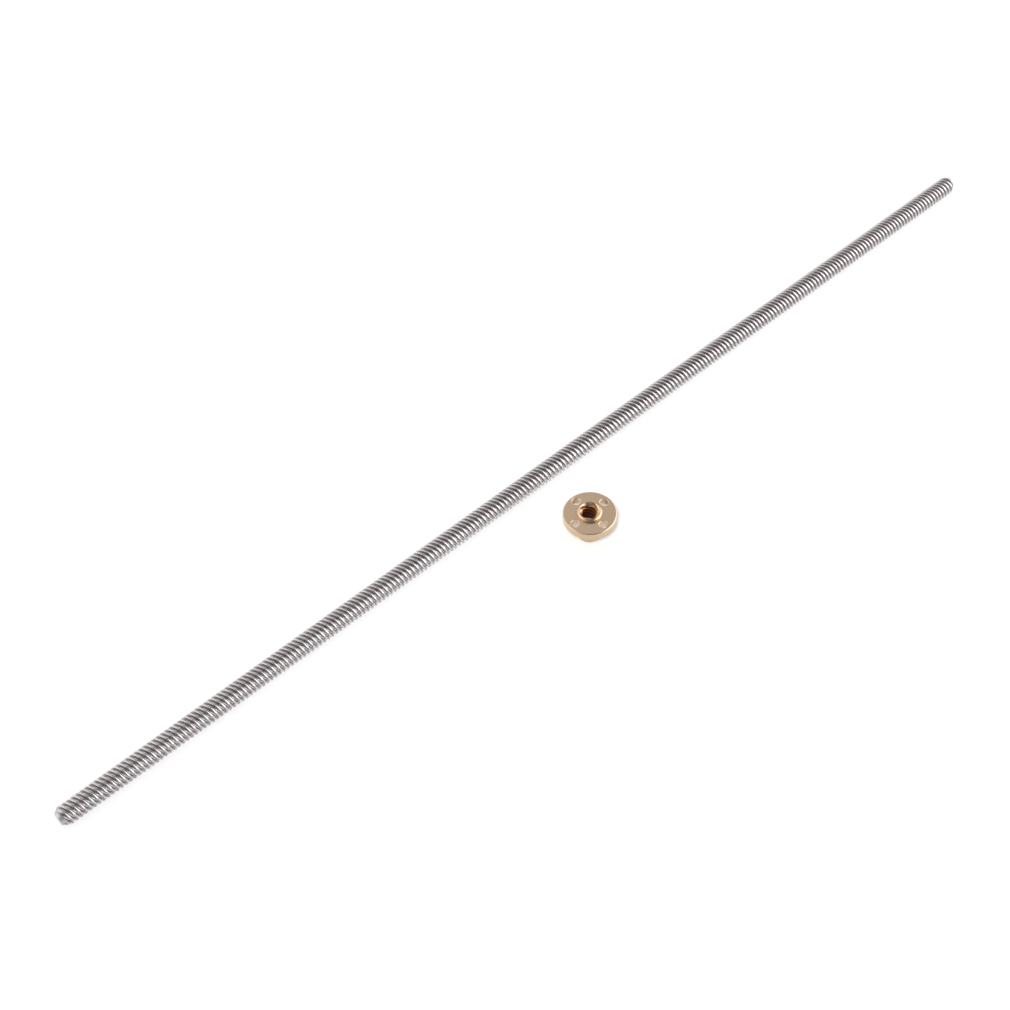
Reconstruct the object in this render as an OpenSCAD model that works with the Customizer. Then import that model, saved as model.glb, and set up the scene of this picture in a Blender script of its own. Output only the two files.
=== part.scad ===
// Four-start trapezoidal lead screw lying on a flat surface, with its flanged nut taken off and
// stood beside it. The screw lies along +X and its near end face is centred on the origin.
// Everything is in millimetres and degrees.

/* [Screw] */
// Outside diameter over the thread crests
screw_d = 8; // [6:0.5:12]
// Overall length of the screw
screw_length = 500; // [60:10:520]
// Length of the taper at each end of the screw
end_taper = 2; // [1:0.1:3]
// How far the taper reaches below the thread's roots at the end face
end_relief = 0.15; // [0.05:0.05:0.5]

/* [Thread] */
// Axial distance from one ridge to the next
thread_pitch = 2; // [2:0.5:4]
// Number of separate ridges that wind side by side
thread_starts = 4; // [1:1:6]
// Depth of the groove below the crests of the screw
thread_depth = 1.25; // [0.6:0.05:1.5]
// Angle of each flank from a plane square to the axis
flank_angle = 15; // [10:1:20]
// Straight steps in one turn of the screw's ridges
screw_steps = 5; // [4:1:5]
// Straight steps in one turn of the nut's grooves
nut_steps = 12; // [8:2:24]

/* [Thread fit] */
// Radial gap between screw and nut, at the crests and at the roots
radial_gap = 0.25; // [0.1:0.05:0.5]
// Gap between the flanks of screw and nut, along the axis
flank_gap = 0.05; // [0.02:0.01:0.15]

/* [Nut] */
// How far the flange reaches outside the bosses
flange_width = 5.9; // [5.6:0.1:12]
// Thickness of the flange
flange_thickness = 3.5; // [2:0.5:8]
// Wall of the bosses outside the screw's crests
boss_wall = 1.1; // [0.8:0.1:4]
// Length of the boss below the flange
long_boss = 10; // [4:0.5:30]
// Length of the boss above the flange
short_boss = 1.5; // [0.5:0.1:10]
// Chamfer on the rims of the flange and on the foot
rim_chamfer = 0.3; // [0.1:0.05:0.6]
// Chamfer that leads into the thread at both mouths of the bore
mouth_chamfer = 1.1; // [0.4:0.1:1.2]
// How far that chamfer reaches outside the thread's grooves, at the face
mouth_margin = 0.1; // [0.05:0.05:0.3]
// Flat ring between that chamfer and the bevel on the short boss
face_ring = 0.15; // [0.1:0.05:0.4]

/* [Bolt holes] */
// Number of bolt holes in the flange
hole_count = 4; // [3:1:6]
// Diameter of each bolt hole
hole_d = 3.5; // [2:0.1:4]
// Distance from the centre of each hole to the flange's rim
hole_inset = 3; // [2.6:0.1:3.6]
// Chamfer at both mouths of each bolt hole
hole_chamfer = 0.25; // [0.1:0.05:0.4]

/* [Layout] */
// Distance of the nut from the screw's near end, along the screw
nut_along = 235; // [20:5:480]
// Clear space between the screw and the nut's flange
nut_space = 19; // [5:1:80]
// Turn of the nut about its own axis
nut_turn = 0; // [0:5:90]

/* [Hidden] */
round_steps = 96;
overrun = 0.1; // how far a cutter or a hidden foot reaches past the face that it crosses
screw_r = screw_d / 2;
root_r = screw_r - thread_depth;
end_r = root_r - end_relief;
lead = thread_pitch * thread_starts;
flank_slope = tan(flank_angle);
pitch_line_depth = thread_pitch / 4; // below the crest, where ridge and groove are equally wide
groove_r = screw_r + radial_gap;
bore_r = root_r + radial_gap;
boss_r = screw_r + boss_wall;
mouth_r = groove_r + mouth_margin;
flange_r = boss_r + flange_width;
hole_circle_r = flange_r - hole_inset;
flange_top = long_boss + flange_thickness;
nut_height = flange_top + short_boss;
boss_bevel = min(boss_r - mouth_r - face_ring, short_boss / 2);
nut_beside = screw_r + nut_space + flange_r;

// Half the width of a screw ridge at radius r, which is a quarter of the pitch at the pitch line
function ridge_half(r) = thread_pitch / 4 + (screw_r - pitch_line_depth - r) * flank_slope;

// How far a flank made of straight steps falls short of the true helix at radius r
function step_sag(r, steps) = r * flank_slope * (1 / cos(180 / steps) - 1);

// Point on a helix of radius r after some steps, shifted along the axis by dz
function helix_point(r, step, steps, dz) =
    let (turn = 360 * step / steps) [r * cos(turn), r * sin(turn), lead * step / steps + dz];

// One ridge of trapezoidal section that winds round the Z axis. Its outer edges lie beyond crest_r
// and its feet inside foot_r, so that true cylinders can trim both. The lower flank's steps fall
// midway between the upper flank's, which keeps the crest at an even width.
module ridge(crest_r, foot_r, length, steps, widen) {
    outer_r = crest_r / cos(180 / steps) + overrun;
    inner_r = foot_r - overrun;
    spare = widen + step_sag(crest_r, steps) / 4; // so that the steps lie as much outside as inside
    outer_half = ridge_half(outer_r) + spare;
    inner_half = ridge_half(inner_r) + spare;
    first = -steps;
    last = ceil(length / lead * steps) + steps;
    points = [for (i = [first:last]) each [
        helix_point(outer_r, i + 0.5, steps, -outer_half),
        helix_point(outer_r, i, steps, outer_half),
        helix_point(inner_r, i, steps, inner_half),
        helix_point(inner_r, i + 0.5, steps, -inner_half)]];
    rows = last - first;
    sides = [for (i = [0:rows - 1], k = [0:3])
        let (a = 4 * i + k, b = 4 * i + (k + 1) % 4) each [[a, b + 4, a + 4], [a, b, b + 4]]];
    ends = [[3, 2, 1, 0], [for (k = [0:3]) 4 * rows + k]];
    polyhedron(points = points, faces = concat(sides, ends), convexity = 10);
}

// All the ridges of the multi-start thread, trimmed at the crest by a true cylinder
module thread_ridges(crest_r, foot_r, length, steps, widen = 0) {
    for (s = [0:thread_starts - 1])
        rotate([0, 0, 360 * s / thread_starts])
            ridge(crest_r, foot_r, length, steps, widen);
}

// Outline of the screw as turned, before its thread is cut
module screw_blank() {
    rotate_extrude($fn = round_steps)
        polygon([
            [0, 0],
            [end_r, 0],
            [screw_r, end_taper],
            [screw_r, screw_length - end_taper],
            [end_r, screw_length],
            [0, screw_length]]);
}

// Rolled steel screw, threaded from end to end
module lead_screw() {
    color([0.66, 0.66, 0.67])
        rotate([0, 90, 0])
            intersection() {
                screw_blank();
                union() {
                    cylinder(r = root_r, h = screw_length, $fn = round_steps);
                    thread_ridges(screw_r, root_r, screw_length, screw_steps);
                }
            }
}

// Outline of the nut as turned, standing on its long boss
module nut_blank() {
    c = rim_chamfer;
    rotate_extrude($fn = round_steps)
        polygon([
            [0, 0],
            [boss_r - c, 0],
            [boss_r, c],
            [boss_r, long_boss],
            [flange_r - c, long_boss],
            [flange_r, long_boss + c],
            [flange_r, flange_top - c],
            [flange_r - c, flange_top],
            [boss_r, flange_top],
            [boss_r, nut_height - boss_bevel],
            [boss_r - boss_bevel, nut_height],
            [0, nut_height]]);
}

// Lead-in cone at the mouth of a hole of radius r, cut downwards from z = 0
module lead_in(r, chamfer) {
    translate([0, 0, -chamfer])
        cylinder(r1 = r, r2 = r + chamfer + overrun, h = chamfer + overrun, $fn = round_steps);
}

// Bolt holes through the flange, each with a chamfer at both mouths
module bolt_holes() {
    hole_r = hole_d / 2;
    for (i = [0:hole_count - 1])
        rotate([0, 0, 360 * i / hole_count])
            translate([hole_circle_r, 0, 0]) {
                translate([0, 0, long_boss - overrun])
                    cylinder(r = hole_r, h = flange_thickness + 2 * overrun, $fn = round_steps);
                translate([0, 0, flange_top]) lead_in(hole_r, hole_chamfer);
                translate([0, 0, long_boss]) mirror([0, 0, 1]) lead_in(hole_r, hole_chamfer);
            }
}

// The space that the tap cuts: the bore, and the grooves that take the screw's ridges
module tapped_bore() {
    translate([0, 0, -overrun])
        intersection() {
            cylinder(r = groove_r, h = nut_height + 2 * overrun, $fn = round_steps);
            union() {
                cylinder(r = bore_r, h = nut_height + 2 * overrun, $fn = round_steps);
                thread_ridges(groove_r, bore_r, nut_height, nut_steps, flank_gap);
            }
        }
    translate([0, 0, nut_height]) lead_in(mouth_r - mouth_chamfer, mouth_chamfer);
    mirror([0, 0, 1]) lead_in(mouth_r - mouth_chamfer, mouth_chamfer);
}

// Brass nut, turned in one piece, standing on its long boss beside the screw
module flange_nut() {
    color([0.74, 0.62, 0.40])
        translate([nut_along, -nut_beside, -screw_r])
            rotate([0, 0, nut_turn])
                difference() {
                    nut_blank();
                    bolt_holes();
                    tapped_bore();
                }
}

lead_screw();
flange_nut();
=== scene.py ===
# Four-start trapezoidal lead screw with its flanged nut standing beside it, dressed for rendering.
# Lengths are in metres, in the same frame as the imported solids: X along the screw, Z up.

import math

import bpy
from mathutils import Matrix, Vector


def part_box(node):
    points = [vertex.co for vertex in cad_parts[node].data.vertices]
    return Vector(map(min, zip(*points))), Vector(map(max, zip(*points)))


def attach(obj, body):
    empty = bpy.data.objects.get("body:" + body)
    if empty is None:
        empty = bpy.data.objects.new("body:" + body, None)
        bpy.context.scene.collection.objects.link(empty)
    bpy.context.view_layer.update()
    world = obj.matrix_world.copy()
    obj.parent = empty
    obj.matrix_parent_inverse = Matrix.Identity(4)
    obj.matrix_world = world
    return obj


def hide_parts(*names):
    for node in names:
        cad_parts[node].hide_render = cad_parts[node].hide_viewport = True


bl_info = {
    "name": "Trapezoidal Lead Screw",
    "version": (1, 0, 0),
    "blender": (4, 5, 0),
    "location": "3D View > Sidebar > Lead Screw",
    "description": "Winds a multi-start lead screw, turns its flanged nut and sets a plain stage",
    "category": "Add Mesh",
}

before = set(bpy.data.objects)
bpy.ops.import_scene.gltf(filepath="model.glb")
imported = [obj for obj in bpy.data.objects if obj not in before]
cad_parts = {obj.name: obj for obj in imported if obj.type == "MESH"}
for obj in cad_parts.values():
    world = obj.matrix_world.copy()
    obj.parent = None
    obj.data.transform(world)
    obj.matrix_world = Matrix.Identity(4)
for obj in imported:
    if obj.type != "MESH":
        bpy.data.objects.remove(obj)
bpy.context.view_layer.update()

MM = 0.001
OVERRUN = 0.1 * MM  # how far a cutter reaches past the face that it crosses
SAME = 1e-7  # lengths that differ by less are taken as equal
WELD = 1e-6  # points that lie closer than this are merged
ROUND_SIDES = 96  # straight steps in one turn of the screw's blank and of the nut's lead-in cones
NUT_SIDES = 144  # straight steps in one turn of the nut's outline
DRILL_SIDES = 48  # straight steps in one turn of a bolt hole
MATH = "ShaderNodeMath"
VECTOR_MATH = "ShaderNodeVectorMath"
INTEGER_MATH = "FunctionNodeIntegerMath"
COLOUR_A, COLOUR_B, COLOUR_RESULT = 6, 7, 2  # sockets of a Mix node that mixes colours
SCREW_LOW, SCREW_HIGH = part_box("lead_screw")
NUT_LOW, NUT_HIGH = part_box("flange_nut")
FLOOR_HEIGHT = SCREW_LOW.z


def linear(hex_colour):
    """Linear RGBA of an sRGB hex colour such as "#c4a788"."""
    channels = [int(hex_colour[i:i + 2], 16) / 255 for i in (1, 3, 5)]
    return tuple(c / 12.92 if c <= 0.04045 else ((c + 0.055) / 1.055) ** 2.4 for c in channels) + (1.0,)


def length(name, description, default, low, high):
    """Keyword arguments of a length property, all in metres."""
    return dict(name=name, description=description, default=default, min=low, max=high,
                unit="LENGTH", precision=5, step=0.01)


def colour(name, description, hex_colour):
    """Keyword arguments of a colour property."""
    return dict(name=name, description=description, subtype="COLOR", size=4, min=0, max=1,
                default=linear(hex_colour))


class ScrewSizes(bpy.types.PropertyGroup):
    """Sizes of the screw and of the thread that it shares with the nut"""

    length: bpy.props.FloatProperty(**length(
        "Length", "Overall length of the screw", SCREW_HIGH.x - SCREW_LOW.x, 0.06, 1))
    diameter: bpy.props.FloatProperty(**length(
        "Diameter", "Outside diameter over the crests", SCREW_HIGH.z - SCREW_LOW.z, 0.006, 0.02))
    pitch: bpy.props.FloatProperty(**length(
        "Pitch", "Axial distance from one ridge to the next", 2 * MM, 0.001, 0.006))
    starts: bpy.props.IntProperty(
        name="Starts", description="Ridges that wind side by side", default=4, min=1, max=8)
    depth: bpy.props.FloatProperty(**length(
        "Thread depth", "Depth of the groove below the crests", 1.25 * MM, 0.0005, 0.003))
    flank: bpy.props.FloatProperty(
        name="Flank angle", description="Angle of each flank from a plane square to the axis",
        default=math.radians(15), min=math.radians(5), max=math.radians(30), subtype="ANGLE")
    rounding: bpy.props.FloatProperty(**length(
        "Edge rounding", "Width of the rounding at crest and root edges", 0.05 * MM, 0.00001, 0.0003))
    end_taper: bpy.props.FloatProperty(**length(
        "End taper", "Length of the taper at each end of the screw", 2 * MM, 0.001, 0.003))
    end_relief: bpy.props.FloatProperty(**length(
        "End relief", "How far the taper reaches below the roots at the face",
        0.15 * MM, 0.00005, 0.0005))
    sides: bpy.props.IntProperty(
        name="Sides", description="Straight steps in one turn of the thread", default=44, min=12, max=48)


class NutSizes(bpy.types.PropertyGroup):
    """Sizes of the flanged nut"""

    flange_diameter: bpy.props.FloatProperty(**length(
        "Flange diameter", "Outside diameter of the flange", NUT_HIGH.x - NUT_LOW.x, 0.015, 0.05))
    flange_thickness: bpy.props.FloatProperty(**length(
        "Flange thickness", "Thickness of the flange", 3.5 * MM, 0.002, 0.01))
    boss_diameter: bpy.props.FloatProperty(**length(
        "Boss diameter", "Outside diameter of both bosses", 10.2 * MM, 0.009, 0.02))
    long_boss: bpy.props.FloatProperty(**length(
        "Long boss", "Length of the boss below the flange", 10 * MM, 0.004, 0.03))
    height: bpy.props.FloatProperty(**length(
        "Height", "Overall height of the nut", NUT_HIGH.z - NUT_LOW.z, 0.01, 0.05))
    rim_chamfer: bpy.props.FloatProperty(**length(
        "Rim chamfer", "Chamfer on the rims of the flange and on the foot", 0.3 * MM, 0.0001, 0.001))
    mouth_diameter: bpy.props.FloatProperty(**length(
        "Mouth diameter", "Diameter of the bore's chamfer at the face", 8.7 * MM, 0.008, 0.01))
    mouth_chamfer: bpy.props.FloatProperty(**length(
        "Mouth chamfer", "Depth of the chamfer that leads into the thread", 1.1 * MM, 0.0002, 0.0015))
    boss_bevel: bpy.props.FloatProperty(**length(
        "Boss bevel", "Bevel on the rim of the short boss", 0.6 * MM, 0.0002, 0.0008))
    radial_gap: bpy.props.FloatProperty(**length(
        "Radial gap", "Gap to the screw at its crests and roots", 0.25 * MM, 0.00005, 0.0005))
    flank_gap: bpy.props.FloatProperty(**length(
        "Flank gap", "Gap to the screw's flanks along the axis", 0.05 * MM, 0.00001, 0.0002))
    hole_count: bpy.props.IntProperty(
        name="Bolt holes", description="Number of bolt holes in the flange", default=4, min=2, max=8)
    hole_diameter: bpy.props.FloatProperty(**length(
        "Hole diameter", "Diameter of each bolt hole", 3.5 * MM, 0.002, 0.005))
    hole_circle: bpy.props.FloatProperty(**length(
        "Hole circle", "Diameter of the circle through the hole centres", 16 * MM, 0.012, 0.03))
    hole_chamfer: bpy.props.FloatProperty(**length(
        "Hole chamfer", "Chamfer at both mouths of each bolt hole", 0.25 * MM, 0.0001, 0.0005))


class Finishes(bpy.types.PropertyGroup):
    """Colours of the two metals"""

    steel: bpy.props.FloatVectorProperty(**colour(
        "Steel", "Bright rolled crests of the screw", "#dad7d7"))
    steel_tint: bpy.props.FloatVectorProperty(**colour(
        "Steel tint", "Faint mauve tint in patches of the crests", "#d3cacc"))
    # Painted shade: the flanks are coloured darker to stand in for the shade in the grooves
    painted_flank_shade: bpy.props.FloatVectorProperty(**colour(
        "Flank film", "Rolling oil burnt on to the thread's flanks", "#beb7b8"))
    # Painted shade: the roots are coloured a little darker to stand in for the shade in the grooves
    root: bpy.props.FloatVectorProperty(**colour(
        "Roots", "Duller metal at the thread's roots", "#c9c5c6"))
    steel_turned: bpy.props.FloatVectorProperty(**colour(
        "Turned steel", "Faces and tapers at the screw's ends", "#cfcccd"))
    steel_rings: bpy.props.FloatVectorProperty(**colour(
        "Turned steel rings", "Darker lathe rings on the screw's ends", "#bab6b8"))
    brass: bpy.props.FloatVectorProperty(**colour(
        "Brass", "Fine turned faces of the nut", "#e3caad"))
    brass_rings: bpy.props.FloatVectorProperty(**colour(
        "Brass rings", "Darker lathe rings on the nut", "#d8ba9a"))
    # Painted light: the hole walls are coloured paler than the brass to stand in for light seen through
    # the holes; their rougher finish is real
    hole_walls_painted_light: bpy.props.FloatVectorProperty(**colour(
        "Drilled brass", "Rougher, paler walls of the bolt holes", "#f5e3cc"))
    bore: bpy.props.FloatVectorProperty(**colour(
        "Bore", "Tapped brass inside the bore", "#ebbc8c"))
    bore_oil: bpy.props.FloatVectorProperty(**colour(
        "Bore oil", "Oily patches inside the bore", "#d69d6c"))


class StageSettings(bpy.types.PropertyGroup):
    """Camera, floor and lamps"""

    place: bpy.props.FloatVectorProperty(
        name="Camera place", description="Where the camera stands", subtype="TRANSLATION", precision=4,
        default=(-0.0711, -0.3571, 0.5870))
    bearing: bpy.props.FloatProperty(
        name="Bearing", description="Direction of view in plan, from +X", subtype="ANGLE",
        default=math.radians(50.94))
    pitch: bpy.props.FloatProperty(
        name="Pitch", description="Direction of view below the horizon", subtype="ANGLE",
        default=math.radians(52.07))
    roll: bpy.props.FloatProperty(
        name="Roll", description="Turn of the camera about its view", subtype="ANGLE",
        default=math.radians(-2.98))
    lens: bpy.props.FloatProperty(
        name="Lens", description="Focal length in millimetres on a 36 mm sensor", default=64.16,
        min=20, max=200)
    floor_size: bpy.props.FloatProperty(**length(
        "Floor size", "Side of the square floor", 8.0, 1, 50))
    floor_colour: bpy.props.FloatVectorProperty(**colour(
        "Floor", "Matt white board", "#f7f7f7"))
    key_height: bpy.props.FloatProperty(
        name="Key height", description="Height of the key light above the horizon", subtype="ANGLE",
        default=math.radians(56))
    key_bearing: bpy.props.FloatProperty(
        name="Key bearing", description="Direction of the key light in plan, from +X", subtype="ANGLE",
        default=math.radians(40))
    key_width: bpy.props.FloatProperty(
        name="Key width", description="Angle that the key light spans, which softens its shadow",
        subtype="ANGLE", default=math.radians(8))
    key_strength: bpy.props.FloatProperty(
        name="Key strength", description="Strength of the key light", default=1.93, min=0, max=10)
    ambient: bpy.props.FloatProperty(
        name="Ambient", description="Strength of the light from all round", default=0.58, min=0, max=2)
    plain_share: bpy.props.FloatProperty(
        name="Plain share", description="Share of plain white that the camera and metal see in the floor",
        default=0.1, min=0, max=1)
    left_panel: bpy.props.FloatProperty(
        name="Left panel", description="Strength of the mirrored surroundings at the far left",
        default=1.45, min=0, max=2)
    gap: bpy.props.FloatProperty(
        name="Gap", description="Strength of the mirrored surroundings in the gap right of the middle",
        default=0.38, min=0, max=2)
    right_panel: bpy.props.FloatProperty(
        name="Right panel", description="Strength of the mirrored surroundings at the right",
        default=2.4, min=0, max=3)
    opening: bpy.props.FloatProperty(
        name="Opening", description="Share of that light left in the opening on the camera's side",
        default=0.27, min=0, max=1)
    opening_height: bpy.props.FloatProperty(
        name="Opening height", description="Height of the opening's middle above the horizon",
        subtype="ANGLE", default=math.radians(40))


def add(tree, kind, inputs=None, **settings):
    """Adds one node with its settings; each input is a value, or a socket or node to link from."""
    node = tree.nodes.new(kind)
    for name, value in settings.items():
        setattr(node, name, value)
    for key, value in (inputs or {}).items():
        source = value.outputs[0] if isinstance(value, bpy.types.Node) else value
        if isinstance(source, bpy.types.NodeSocket):
            tree.links.new(source, node.inputs[key])
        else:
            node.inputs[key].default_value = source
    return node


def mesh_object(name, points, faces):
    """A new object in the scene from plain lists of points and faces."""
    mesh = bpy.data.meshes.new(name)
    mesh.from_pydata(points, [], faces)
    mesh.update()
    piece = bpy.data.objects.new(name, mesh)
    bpy.context.scene.collection.objects.link(piece)
    return piece


def turned(name, outline, sides, metal):
    """A solid of revolution about Z, from an outline of (radius, height) with both ends on the axis."""
    points, rings = [], []
    for radius, height in outline:
        count = sides if radius > 0 else 1
        rings.append([len(points) + k for k in range(count)])
        turns = [math.tau * k / sides for k in range(count)]
        points += [(radius * math.cos(turn), radius * math.sin(turn), height) for turn in turns]
    faces = []
    for low, high in zip(rings, rings[1:]):
        for k in range(sides):
            corners = [low[k % len(low)], low[(k + 1) % len(low)],
                       high[(k + 1) % len(high)], high[k % len(high)]]
            face = [c for i, c in enumerate(corners) if c not in corners[:i]]
            if len(face) > 2:
                faces.append(face)
    piece = mesh_object(name, points, faces)
    piece.data.materials.append(metal)
    return piece


def make_plain(piece):
    """Turns a piece with modifiers into a plain mesh and removes them."""
    bpy.context.view_layer.update()
    graph = bpy.context.evaluated_depsgraph_get()
    mesh = bpy.data.meshes.new_from_object(piece.evaluated_get(graph), depsgraph=graph)
    if not mesh.polygons:
        raise RuntimeError(f"{piece.name} came out empty")
    piece.modifiers.clear()
    piece.data = mesh
    mesh.name = piece.name


def cut(piece, cutter, operation="DIFFERENCE"):
    """Cuts a piece with a closed cutter, which leaves its own finish on the faces that it cuts."""
    boolean = piece.modifiers.new("Cut", "BOOLEAN")
    boolean.operation = operation
    boolean.solver = "MANIFOLD"
    boolean.material_mode = "TRANSFER"
    boolean.object = cutter
    make_plain(piece)
    bpy.data.objects.remove(cutter)


def finish_piece(piece, sharp_angle, node):
    """Shades a finished piece, with its flat faces kept flat, and puts it in place of its CAD node."""
    piece.data.shade_smooth()
    piece.data.set_sharp_from_angle(angle=sharp_angle)
    piece.modifiers.new("Flat faces", "WEIGHTED_NORMAL").keep_sharp = True
    make_plain(piece)
    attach(piece, "root")
    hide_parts(node)


def wound_thread_tree():
    """Geometry Nodes that wind the profile of one ridge round the X axis into a closed threaded bar."""
    tree = bpy.data.node_groups.new("Wound thread", "GeometryNodeTree")
    for name, kind in (("Profile", "NodeSocketGeometry"), ("Pitch", "NodeSocketFloat"),
                       ("Starts", "NodeSocketInt"), ("Sides", "NodeSocketInt"),
                       ("Low end", "NodeSocketFloat"), ("High end", "NodeSocketFloat"),
                       ("Metal", "NodeSocketMaterial")):
        tree.interface.new_socket(name=name, in_out="INPUT", socket_type=kind)
    tree.interface.new_socket(name="Thread", in_out="OUTPUT", socket_type="NodeSocketGeometry")
    given = add(tree, "NodeGroupInput").outputs
    low, high, pitch, sides = given["Low end"], given["High end"], given["Pitch"], given["Sides"]
    lead = add(tree, MATH, {0: pitch, 1: given["Starts"]}, operation="MULTIPLY")

    # A grid with one column for each step round the axis and one row for each point of the profile,
    # ridge after ridge, with a lead to spare
    count = add(tree, "GeometryNodeAttributeDomainSize", {0: given["Profile"]}).outputs["Point Count"]
    span = add(tree, MATH, {0: high, 1: low}, operation="SUBTRACT")
    total = add(tree, MATH, {0: lead, 1: 2.0, 2: span}, operation="MULTIPLY_ADD")
    pitches = add(tree, MATH, {0: total, 1: pitch}, operation="DIVIDE")
    ridges = add(tree, MATH, {0: pitches}, operation="CEIL")
    more = add(tree, INTEGER_MATH, {0: ridges, 1: 3}, operation="ADD")
    rows = add(tree, INTEGER_MATH, {0: more, 1: count}, operation="MULTIPLY")
    columns = add(tree, INTEGER_MATH, {0: sides, 1: 1}, operation="ADD")
    grid = add(tree, "GeometryNodeMeshGrid", {"Vertices X": columns, "Vertices Y": rows})

    # Column, row, ridge and profile point of each point of the grid
    index = add(tree, "GeometryNodeInputIndex")
    column = add(tree, INTEGER_MATH, {0: index, 1: rows}, operation="DIVIDE_FLOOR")
    row = add(tree, INTEGER_MATH, {0: index, 1: rows}, operation="MODULO")
    ridge = add(tree, INTEGER_MATH, {0: row, 1: count}, operation="DIVIDE_FLOOR")
    corner = add(tree, INTEGER_MATH, {0: row, 1: count}, operation="MODULO")
    sample = add(tree, "GeometryNodeSampleIndex", {
        "Geometry": given["Profile"], "Value": add(tree, "GeometryNodeInputPosition"), "Index": corner},
        data_type="FLOAT_VECTOR", domain="POINT")
    profile = add(tree, "ShaderNodeSeparateXYZ", {0: sample}).outputs

    # Each column is shifted along the axis by its share of the lead, so that the last one meets the
    # first, and the grid starts a whole lead before the low end
    turn = add(tree, MATH, {0: column, 1: sides}, operation="DIVIDE")
    before = add(tree, MATH, {0: lead, 1: low}, operation="SUBTRACT")
    pitches_before = add(tree, MATH, {0: before, 1: pitch}, operation="DIVIDE")
    skipped = add(tree, MATH, {0: pitches_before}, operation="CEIL")
    first = add(tree, MATH, {0: skipped, 1: 1.0}, operation="ADD")
    place = add(tree, MATH, {0: ridge, 1: first}, operation="SUBTRACT")
    along = add(tree, MATH, {0: place, 1: pitch, 2: profile["X"]}, operation="MULTIPLY_ADD")
    along = add(tree, MATH, {0: turn, 1: lead, 2: along}, operation="MULTIPLY_ADD")

    # Points beyond an end fall on the axis there, which closes the bar
    trimmed = add(tree, "ShaderNodeClamp", {"Value": along, "Min": low, "Max": high})
    inside = add(tree, MATH, {0: along, 1: trimmed, 2: SAME}, operation="COMPARE")
    radius = add(tree, MATH, {0: profile["Z"], 1: inside}, operation="MULTIPLY")
    flat = add(tree, "ShaderNodeCombineXYZ", {"X": trimmed, "Y": radius})
    angle = add(tree, MATH, {0: turn, 1: math.tau}, operation="MULTIPLY")
    wound = add(tree, "ShaderNodeVectorRotate", {"Vector": flat, "Angle": angle}, rotation_type="X_AXIS")
    moved = add(tree, "GeometryNodeSetPosition", {"Geometry": grid, "Position": wound})
    merged = add(tree, "GeometryNodeMergeByDistance", {"Geometry": moved, "Distance": WELD})
    real = add(tree, "GeometryNodeRealizeInstances", {0: merged})
    dressed = add(tree, "GeometryNodeSetMaterial", {"Geometry": real, "Material": given["Metal"]})
    add(tree, "NodeGroupOutput", {0: dressed})
    return tree


def bolt_circle_tree():
    """Geometry Nodes that repeat one upright cutter round a circle about the Z axis."""
    tree = bpy.data.node_groups.new("Bolt circle", "GeometryNodeTree")
    for name, kind in (("Cutter", "NodeSocketGeometry"), ("Count", "NodeSocketInt"),
                       ("Radius", "NodeSocketFloat"), ("Metal", "NodeSocketMaterial")):
        tree.interface.new_socket(name=name, in_out="INPUT", socket_type=kind)
    tree.interface.new_socket(name="Cutters", in_out="OUTPUT", socket_type="NodeSocketGeometry")
    given = add(tree, "NodeGroupInput").outputs
    circle = add(tree, "GeometryNodeMeshCircle", {"Vertices": given["Count"], "Radius": given["Radius"]})
    copies = add(tree, "GeometryNodeInstanceOnPoints", {"Points": circle, "Instance": given["Cutter"]})
    real = add(tree, "GeometryNodeRealizeInstances", {0: copies})
    dressed = add(tree, "GeometryNodeSetMaterial", {"Geometry": real, "Material": given["Metal"]})
    add(tree, "NodeGroupOutput", {0: dressed})
    return tree


def grow(piece, tree, values):
    """Runs a tree of Geometry Nodes on a piece, with its inputs set by their identifiers."""
    modifier = piece.modifiers.new(tree.name, "NODES")
    modifier.node_group = tree
    for item in tree.interface.items_tree:
        if item.item_type == "SOCKET" and item.in_out == "INPUT" and item.name in values:
            modifier[item.identifier] = values[item.name]
    make_plain(piece)
    piece.data.materials.clear()  # the grid comes with an empty slot
    piece.data.materials.append(values["Metal"])


def ridge_profile(screw, radial_gap=0.0, flank_gap=0.0):
    """Eight points of one ridge and the groove after it, as (along, 0, radius), with rounded edges."""
    crest = screw.diameter / 2
    root = crest - screw.depth
    slope, rounding = math.tan(screw.flank), screw.rounding
    pitch_line = crest - screw.pitch / 4
    top, bottom = crest + radial_gap, root + radial_gap
    half_top = screw.pitch / 4 + (pitch_line - top) * slope + flank_gap
    half_bottom = screw.pitch / 4 + (pitch_line - bottom) * slope + flank_gap
    across, down = rounding * math.sin(screw.flank), rounding * math.cos(screw.flank)
    side = [(half_top - rounding, top), (half_top + across, top - down),
            (half_bottom - across, bottom + down), (half_bottom + rounding, bottom)]
    mirrored = [(screw.pitch - x, r) for x, r in side[::-1]]
    return [(x, 0, r) for x, r in side + mirrored]


def threaded_bar(name, screw, metal, low, high, radial_gap=0.0, flank_gap=0.0):
    """A closed bar along X with the screw's thread, or with the shape of the tap that cuts the nut's."""
    bar = mesh_object(name, ridge_profile(screw, radial_gap, flank_gap), [])
    grow(bar, wound_thread_tree(), {
        "Pitch": screw.pitch, "Starts": screw.starts, "Sides": screw.sides, "Low end": low,
        "High end": high, "Metal": metal})
    return bar


def new_metal(name):
    """A material with an empty node tree, and the object coordinates in it."""
    material = bpy.data.materials.new(name)
    material.use_nodes = True
    tree = material.node_tree
    tree.nodes.clear()
    return material, tree, add(tree, "ShaderNodeTexCoord").outputs["Object"]


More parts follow.
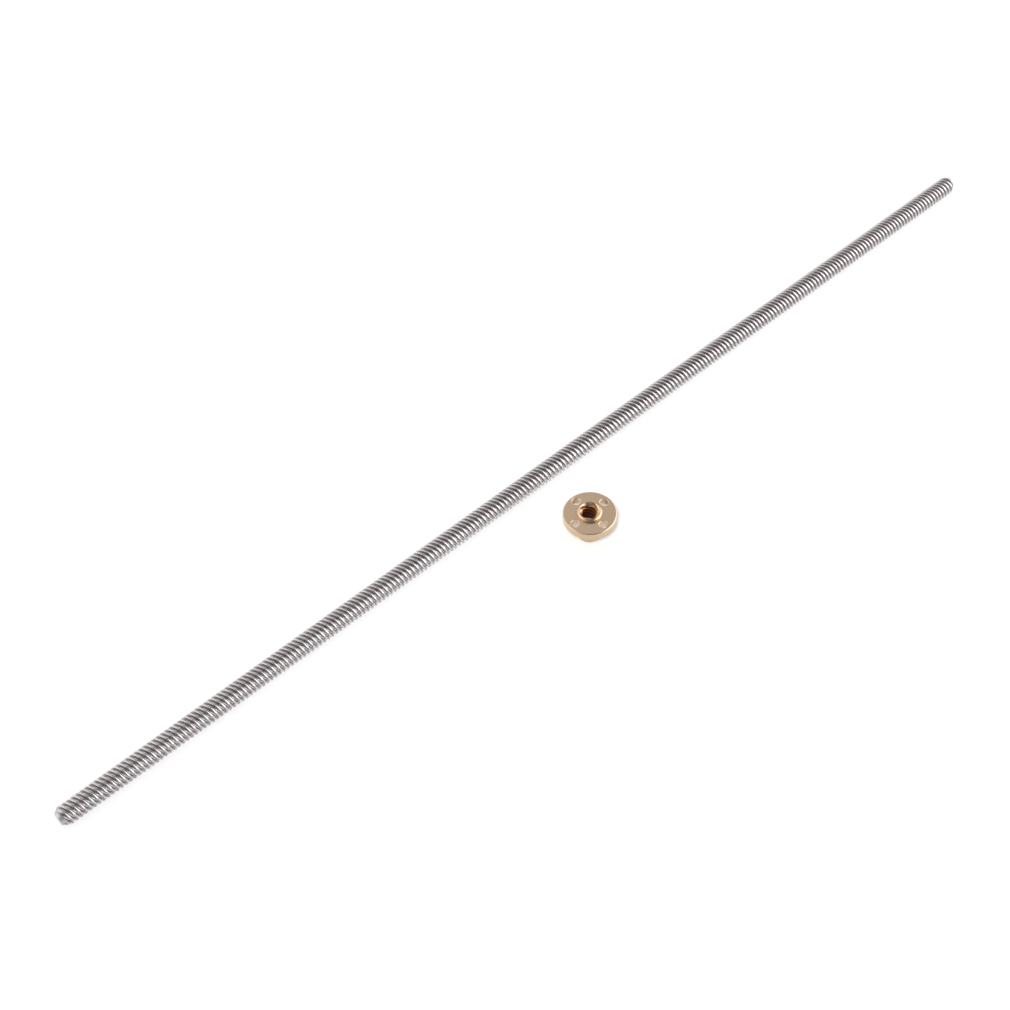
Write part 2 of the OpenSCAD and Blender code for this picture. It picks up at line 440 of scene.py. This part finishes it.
def finish_metal(tree, base_colour, roughness, relief, strength, depth):
    """Ends a metal's tree with its shader, whose relief is drawn as bumps of that depth."""
    bump = add(tree, "ShaderNodeBump", {"Strength": strength, "Distance": depth, "Height": relief})
    shader = add(tree, "ShaderNodeBsdfPrincipled", {
        "Metallic": 1.0, "Base Color": base_colour, "Roughness": roughness, "Normal": bump})
    add(tree, "ShaderNodeOutputMaterial", {"Surface": shader})


def rolled_steel(screw, finishes):
    """Carbon steel, thread rolled cold between dies: burnished crests, with painted shade on the flanks
    and roots.
    """
    material, tree, place = new_metal("rolled_steel")
    axes = add(tree, "ShaderNodeSeparateXYZ", {0: place}).outputs
    across = add(tree, "ShaderNodeCombineXYZ", {"Y": axes["Y"], "Z": axes["Z"]})
    radius = add(tree, VECTOR_MATH, {0: across}, operation="LENGTH").outputs["Value"]
    crest = screw.diameter / 2
    root = crest - screw.depth
    # Painted shade in the grooves: the darker flank colour begins 0.03 mm below the crests and is full at
    # 0.2 mm. The roots' painted shade is full up to 0.05 mm above them and ends at 0.3 mm.
    below = add(tree, "ShaderNodeMapRange", {
        "Value": radius, "From Min": crest - 0.03 * MM, "From Max": crest - 0.2 * MM},
        interpolation_type="SMOOTHSTEP")
    bottom = add(tree, "ShaderNodeMapRange", {
        "Value": radius, "From Min": root + 0.3 * MM, "From Max": root + 0.05 * MM},
        interpolation_type="SMOOTHSTEP")
    # Faint heat tint in patches 7 mm across
    patches = add(tree, "ShaderNodeTexNoise", {"Vector": place, "Scale": 1 / (7 * MM), "Detail": 3.0})
    tint = add(tree, "ShaderNodeMapRange", {"Value": patches, "From Min": 0.45, "From Max": 0.7})
    crests = add(tree, "ShaderNodeMix", {
        0: tint, COLOUR_A: finishes.steel, COLOUR_B: finishes.steel_tint},
        data_type="RGBA").outputs[COLOUR_RESULT]
    flanks = add(tree, "ShaderNodeMix", {
        0: below, COLOUR_A: crests, COLOUR_B: finishes.painted_flank_shade},
        data_type="RGBA").outputs[COLOUR_RESULT]
    metal = add(tree, "ShaderNodeMix", {
        0: bottom, COLOUR_A: flanks, COLOUR_B: finishes.root},
        data_type="RGBA").outputs[COLOUR_RESULT]
    # Rolling marks follow the ridges 0.08 mm apart, with about six breaks in each radian of a turn.
    # The angle's jump lies underneath the bar.
    turn = add(tree, MATH, {0: axes["Y"], 1: axes["Z"]}, operation="ARCTAN2")
    rise = screw.pitch * screw.starts / math.tau
    wound = add(tree, MATH, {0: turn, 1: rise, 2: axes["X"]}, operation="MULTIPLY_ADD")
    line = add(tree, "ShaderNodeCombineXYZ", {"X": wound, "Y": turn})
    density = (1 / (0.08 * MM), 6.0, 0.0)
    marks = add(tree, VECTOR_MATH, {0: line, 1: density}, operation="MULTIPLY")
    streaks = add(tree, "ShaderNodeTexNoise", {"Vector": marks, "Scale": 1.0, "Detail": 2.0},
                  noise_dimensions="2D")
    # The dies burnish the crests to a roughness of 0.16 to 0.28, and leave the flanks 0.12 rougher
    polish = add(tree, "ShaderNodeMapRange", {"Value": below, "To Min": 0.16, "To Max": 0.28})
    rough = add(tree, MATH, {0: streaks, 1: 0.12, 2: polish}, operation="MULTIPLY_ADD")
    finish_metal(tree, metal, rough, streaks, strength=0.2, depth=0.01 * MM)
    return material


def turned_metal(name, light, deep, centre, tilt, smooth, dull):
    """Metal fine turned on a lathe whose axis is Z after the tilt: close rings and a soft haze."""
    material, tree, place = new_metal(name)
    own = add(tree, "ShaderNodeMapping", {"Vector": place, "Location": centre, "Rotation": tilt},
              vector_type="TEXTURE")
    axes = add(tree, "ShaderNodeSeparateXYZ", {0: own}).outputs
    across = add(tree, "ShaderNodeCombineXYZ", {"X": axes["X"], "Y": axes["Y"]})
    radius = add(tree, VECTOR_MATH, {0: across}, operation="LENGTH").outputs["Value"]
    # Radius plus height gives rings on flat faces and on round ones alike. Feed marks of 0.1 mm are
    # drawn 0.2 mm apart so that they show.
    travel = add(tree, MATH, {0: radius, 1: axes["Z"]}, operation="ADD")
    feed = add(tree, MATH, {0: travel, 1: 1 / (0.2 * MM)}, operation="MULTIPLY")
    rings = add(tree, "ShaderNodeTexNoise", {"W": feed, "Scale": 1.0, "Detail": 3.0},
                noise_dimensions="1D")
    shade = add(tree, "ShaderNodeMapRange", {"Value": rings, "From Min": 0.3, "From Max": 0.7})
    metal = add(tree, "ShaderNodeMix", {0: shade, COLOUR_A: deep, COLOUR_B: light}, data_type="RGBA")
    # Haze of fine scratches and fingermarks in patches 3 mm across
    haze = add(tree, "ShaderNodeTexNoise", {"Vector": place, "Scale": 1 / (3 * MM), "Detail": 4.0})
    rough = add(tree, "ShaderNodeMapRange", {"Value": haze, "To Min": smooth, "To Max": dull})
    finish_metal(tree, metal.outputs[COLOUR_RESULT], rough, rings, strength=0.25, depth=0.01 * MM)
    return material


def tapped_brass(finishes):
    """Free-cutting brass, tapped: a torn, oily thread, darker than the turned faces."""
    material, tree, place = new_metal("tapped_brass")
    # Torn patches 0.5 mm across
    torn = add(tree, "ShaderNodeTexNoise", {"Vector": place, "Scale": 1 / (0.5 * MM), "Detail": 3.0})
    oil = add(tree, "ShaderNodeMapRange", {"Value": torn, "From Min": 0.35, "From Max": 0.65})
    metal = add(tree, "ShaderNodeMix", {
        0: oil, COLOUR_A: finishes.bore_oil, COLOUR_B: finishes.bore}, data_type="RGBA")
    rough = add(tree, "ShaderNodeMapRange", {"Value": torn, "To Min": 0.25, "To Max": 0.5})
    finish_metal(tree, metal.outputs[COLOUR_RESULT], rough, torn, strength=0.3, depth=0.02 * MM)
    return material


def rim(radius, height, chamfer, way):
    """Points of a chamfer at a rim, outwards and up where way is 1, inwards and up where it is -1."""
    # Each of its two edges is cut off, from one softening width outside the chamfer to about half a
    # width inside it
    soft = min(chamfer / 4, 0.08 * MM)
    points = [(radius - chamfer - soft, height),
              (radius - chamfer + soft * 0.4, height + way * soft * 0.6),
              (radius - soft * 0.6, height + way * (chamfer - soft * 0.4)),
              (radius, height + way * (chamfer + soft))]
    return points[::way]


class WindScrew(bpy.types.Operator):
    """Wind the thread of the lead screw and turn its ends"""

    bl_idname = "lead_screw.wind_screw"
    bl_label = "Wind screw"

    def execute(self, context):
        screw, finishes = context.scene.screw_sizes, context.scene.metal_finishes
        rolled = rolled_steel(screw, finishes)
        along_x = (0, math.radians(90), 0)
        faced = turned_metal("turned_steel", finishes.steel_turned, finishes.steel_rings,
                             centre=(0, 0, 0), tilt=along_x, smooth=0.2, dull=0.36)
        spare = screw.pitch
        bar = threaded_bar("threaded_screw", screw, rolled, -spare, screw.length + spare)
        # The blank's tapers run a little past the crests, so it trims the two ends only
        face = screw.diameter / 2 - screw.depth - screw.end_relief
        spread = (screw.depth + screw.end_relief) / screw.end_taper
        past = screw.end_taper + 0.05 * MM
        full = face + past * spread
        blank = turned("blank", [
            (0, 0), (face, 0), (full, past), (full, screw.length - past), (face, screw.length),
            (0, screw.length)], ROUND_SIDES, faced)
        blank.data.transform(Matrix.Rotation(math.radians(90), 4, "Y"))
        cut(bar, blank, "INTERSECT")
        bar.data.transform(Matrix.Translation((SCREW_LOW.x, 0, 0)))
        # Above the 37.5 degrees by which each half of a rounded edge bends, so the edges stay smooth
        finish_piece(bar, sharp_angle=math.radians(44), node="lead_screw")
        return {"FINISHED"}


class TurnNut(bpy.types.Operator):
    """Turn the flanged nut, drill its bolt holes and tap its bore"""

    bl_idname = "lead_screw.turn_nut"
    bl_label = "Turn nut"

    def execute(self, context):
        scene = context.scene
        screw, nut, finishes = scene.screw_sizes, scene.nut_sizes, scene.metal_finishes
        foot = Vector(((NUT_LOW.x + NUT_HIGH.x) / 2, (NUT_LOW.y + NUT_HIGH.y) / 2, NUT_LOW.z))
        upright = (0, 0, 0)
        brass = turned_metal("turned_brass", finishes.brass, finishes.brass_rings,
                             foot, upright, smooth=0.22, dull=0.35)
        # Bolt-hole walls: a real rougher drilled finish, with a paler colour that is painted light
        painted_light_walls = turned_metal("drilled_walls_painted_light", finishes.hole_walls_painted_light, finishes.brass,
                               foot, upright, smooth=0.45, dull=0.6)
        tapped = tapped_brass(finishes)
        boss, flange, c = nut.boss_diameter / 2, nut.flange_diameter / 2, nut.rim_chamfer
        seat, top = nut.long_boss, nut.long_boss + nut.flange_thickness
        body = turned("turned_nut", [
            (0, 0), *rim(boss, 0, c, 1), (boss, seat), *rim(flange, seat, c, 1),
            *rim(flange, top, c, -1), (boss, top), *rim(boss, nut.height, nut.boss_bevel, -1),
            (0, nut.height)], NUT_SIDES, brass)

        # Bolt holes, each cut by a drill with a countersink at both ends
        hole, c = nut.hole_diameter / 2, nut.hole_chamfer
        mouth = hole + c + OVERRUN
        drill = turned("drill", [
            (0, seat - OVERRUN), (mouth, seat - OVERRUN), (hole, seat + c), (hole, top - c),
            (mouth, top + OVERRUN), (0, top + OVERRUN)], DRILL_SIDES, painted_light_walls)
        grow(drill, bolt_circle_tree(), {
            "Count": nut.hole_count, "Radius": nut.hole_circle / 2, "Metal": painted_light_walls})
        cut(body, drill)

        # Bore and thread, cut by the shape of the tap and then by a cone at each mouth
        tap = threaded_bar("tap", screw, tapped, -screw.pitch, nut.height + screw.pitch,
                           nut.radial_gap, nut.flank_gap)
        stood_up = Matrix(((0, 1, 0, 0), (0, 0, 1, 0), (1, 0, 0, 0), (0, 0, 0, 1)))  # X becomes Z
        tap.data.transform(stood_up)
        cut(body, tap)
        mouth, depth = nut.mouth_diameter / 2, nut.mouth_chamfer
        for name, height, way in (("lower_countersink", 0, 1), ("upper_countersink", nut.height, -1)):
            outline = [(0, height - way * OVERRUN), (mouth + OVERRUN, height - way * OVERRUN),
                       (mouth - depth, height + way * depth), (0, height + way * depth)]
            cut(body, turned(name, outline[::way], ROUND_SIDES, brass))
        body.data.transform(Matrix.Translation(foot))
        # Between the 23 degrees of a softened edge and the 45 degrees of a countersunk one
        finish_piece(body, sharp_angle=math.radians(35), node="flange_nut")
        return {"FINISHED"}


class SetStage(bpy.types.Operator):
    """Set the white floor, the surroundings, the lamps and the camera"""

    bl_idname = "lead_screw.set_stage"
    bl_label = "Set stage"

    def execute(self, context):
        stage = context.scene.stage_settings
        half = stage.floor_size / 2
        corners = ((-half, -half), (half, -half), (half, half), (-half, half))
        floor = mesh_object("studio_floor", [(x, y, FLOOR_HEIGHT) for x, y in corners], [(0, 1, 2, 3)])
        floor.data.materials.append(white_board(stage))
        light_tent(stage)

        # One soft key light from the camera's side. Metal shows the surroundings, not this lamp.
        towards = Vector((
            math.cos(stage.key_bearing), math.sin(stage.key_bearing), -math.tan(stage.key_height)))
        lamp = bpy.data.lights.new("key_light", "SUN")
        lamp.energy, lamp.angle = stage.key_strength, stage.key_width
        key = bpy.data.objects.new("key_light", lamp)
        context.scene.collection.objects.link(key)
        key.rotation_euler = towards.to_track_quat("-Z", "Y").to_euler()
        key.visible_glossy = False

        camera = bpy.data.objects.new("camera", bpy.data.cameras.new("camera"))
        context.scene.collection.objects.link(camera)
        camera.data.lens, camera.data.sensor_width = stage.lens, 36
        camera.data.clip_start, camera.data.clip_end = 0.01, 50
        flat = Vector((math.cos(stage.bearing), math.sin(stage.bearing), 0))
        view = flat * math.cos(stage.pitch) - Vector((0, 0, math.sin(stage.pitch)))
        right = view.cross(Vector((0, 0, 1))).normalized()
        up = right.cross(view)
        side = right * math.cos(stage.roll) + up * math.sin(stage.roll)
        axes = Matrix((side, view.cross(side) * -1, view * -1)).transposed()
        camera.matrix_world = Matrix.Translation(Vector(stage.place)) @ axes.to_4x4()
        context.scene.camera = camera
        context.scene.view_settings.view_transform = "Standard"
        return {"FINISHED"}


def white_board(stage):
    """Matt painted board, partly plain white to the eye, so that it stays bright round the shadow."""
    material = bpy.data.materials.new("white_board")
    material.use_nodes = True
    tree = material.node_tree
    tree.nodes.clear()
    matt = add(tree, "ShaderNodeBsdfDiffuse", {"Color": stage.floor_colour, "Roughness": 0.6})
    plain = add(tree, "ShaderNodeEmission", {"Strength": 1.0})
    rays = add(tree, "ShaderNodeLightPath").outputs
    seen = add(tree, MATH, {0: rays["Is Camera Ray"], 1: rays["Is Glossy Ray"]}, operation="MAXIMUM")
    share = add(tree, MATH, {0: seen, 1: stage.plain_share}, operation="MULTIPLY")
    board = add(tree, "ShaderNodeMixShader", {0: share, 1: matt, 2: plain})
    add(tree, "ShaderNodeOutputMaterial", {"Surface": board})
    return material


def light_tent(stage):
    """White for the camera, an even soft light, and for metal the inside of a light tent to mirror."""
    world = bpy.data.worlds.new("light_tent")
    bpy.context.scene.world = world
    world.use_nodes = True
    tree = world.node_tree
    tree.nodes.clear()
    rays = add(tree, "ShaderNodeLightPath").outputs
    seen = add(tree, MATH, {0: rays["Is Camera Ray"], 1: rays["Is Transmission Ray"]},
               operation="MAXIMUM")
    plain = add(tree, "ShaderNodeMapRange", {"Value": seen, "To Min": stage.ambient, "To Max": 1.0})
    # Across the view, from -1 at the left to 1 at the right: bright on the left, greying to a gap
    # right of the middle, then a bright panel
    far_left, gap_place, panel_place = -1.0, 0.35, 0.8
    direction = add(tree, "ShaderNodeTexCoord").outputs["Generated"]
    flat = Vector((math.cos(stage.bearing), math.sin(stage.bearing), 0))
    sideways = flat.cross(Vector((0, 0, 1)))
    across = add(tree, VECTOR_MATH, {0: direction, 1: sideways}, operation="DOT_PRODUCT")
    side = across.outputs["Value"]
    left = add(tree, "ShaderNodeMapRange", {
        "Value": side, "From Min": gap_place, "From Max": far_left, "To Min": stage.gap,
        "To Max": stage.left_panel})
    right = add(tree, "ShaderNodeMapRange", {
        "Value": side, "From Min": gap_place, "From Max": panel_place,
        "To Max": stage.right_panel - stage.gap}, interpolation_type="SMOOTHSTEP")
    walls = add(tree, MATH, {0: left, 1: right}, operation="ADD")
    # A dark opening on the camera's side, whose edge softens from 28 to 53 degrees off its middle
    inner_edge, outer_edge = 0.88, 0.6  # cosines of those angles
    opening = (Vector((0, 0, math.tan(stage.opening_height))) - flat).normalized()
    towards = add(tree, VECTOR_MATH, {0: direction, 1: opening}, operation="DOT_PRODUCT")
    lit = add(tree, "ShaderNodeMapRange", {
        "Value": towards.outputs["Value"], "From Min": outer_edge, "From Max": inner_edge,
        "To Min": 1.0, "To Max": stage.opening}, interpolation_type="SMOOTHSTEP")
    mirrored = add(tree, MATH, {0: walls, 1: lit}, operation="MULTIPLY")
    strength = add(tree, "ShaderNodeMix", {0: rays["Is Glossy Ray"], 2: plain, 3: mirrored})
    light = add(tree, "ShaderNodeBackground", {"Color": (1, 1, 1, 1), "Strength": strength})
    add(tree, "ShaderNodeOutputWorld", {"Surface": light})


class LeadScrewPanel(bpy.types.Panel):
    """Sizes, finishes and steps of the lead screw"""

    bl_label = "Lead Screw"
    bl_idname = "VIEW3D_PT_lead_screw"
    bl_space_type = "VIEW_3D"
    bl_region_type = "UI"
    bl_category = "Lead Screw"

    def draw(self, context):
        for settings, step in (("screw_sizes", WindScrew), ("nut_sizes", TurnNut),
                               ("metal_finishes", None), ("stage_settings", SetStage)):
            box = self.layout.box()
            group = getattr(context.scene, settings)
            for name in group.bl_rna.properties.keys():
                if name not in {"rna_type", "name"}:
                    box.prop(group, name)
            if step:
                box.operator(step.bl_idname)


GROUPS = {"screw_sizes": ScrewSizes, "nut_sizes": NutSizes, "metal_finishes": Finishes,
          "stage_settings": StageSettings}
CLASSES = (*GROUPS.values(), WindScrew, TurnNut, SetStage, LeadScrewPanel)


def register():
    for cls in CLASSES:
        bpy.utils.register_class(cls)
    for name, group in GROUPS.items():
        setattr(bpy.types.Scene, name, bpy.props.PointerProperty(type=group))


def unregister():
    for name in GROUPS:
        delattr(bpy.types.Scene, name)
    for cls in reversed(CLASSES):
        bpy.utils.unregister_class(cls)


def main():
    register()
    bpy.ops.lead_screw.wind_screw()
    bpy.ops.lead_screw.turn_nut()
    bpy.ops.lead_screw.set_stage()


if __name__ == "__main__":
    main()
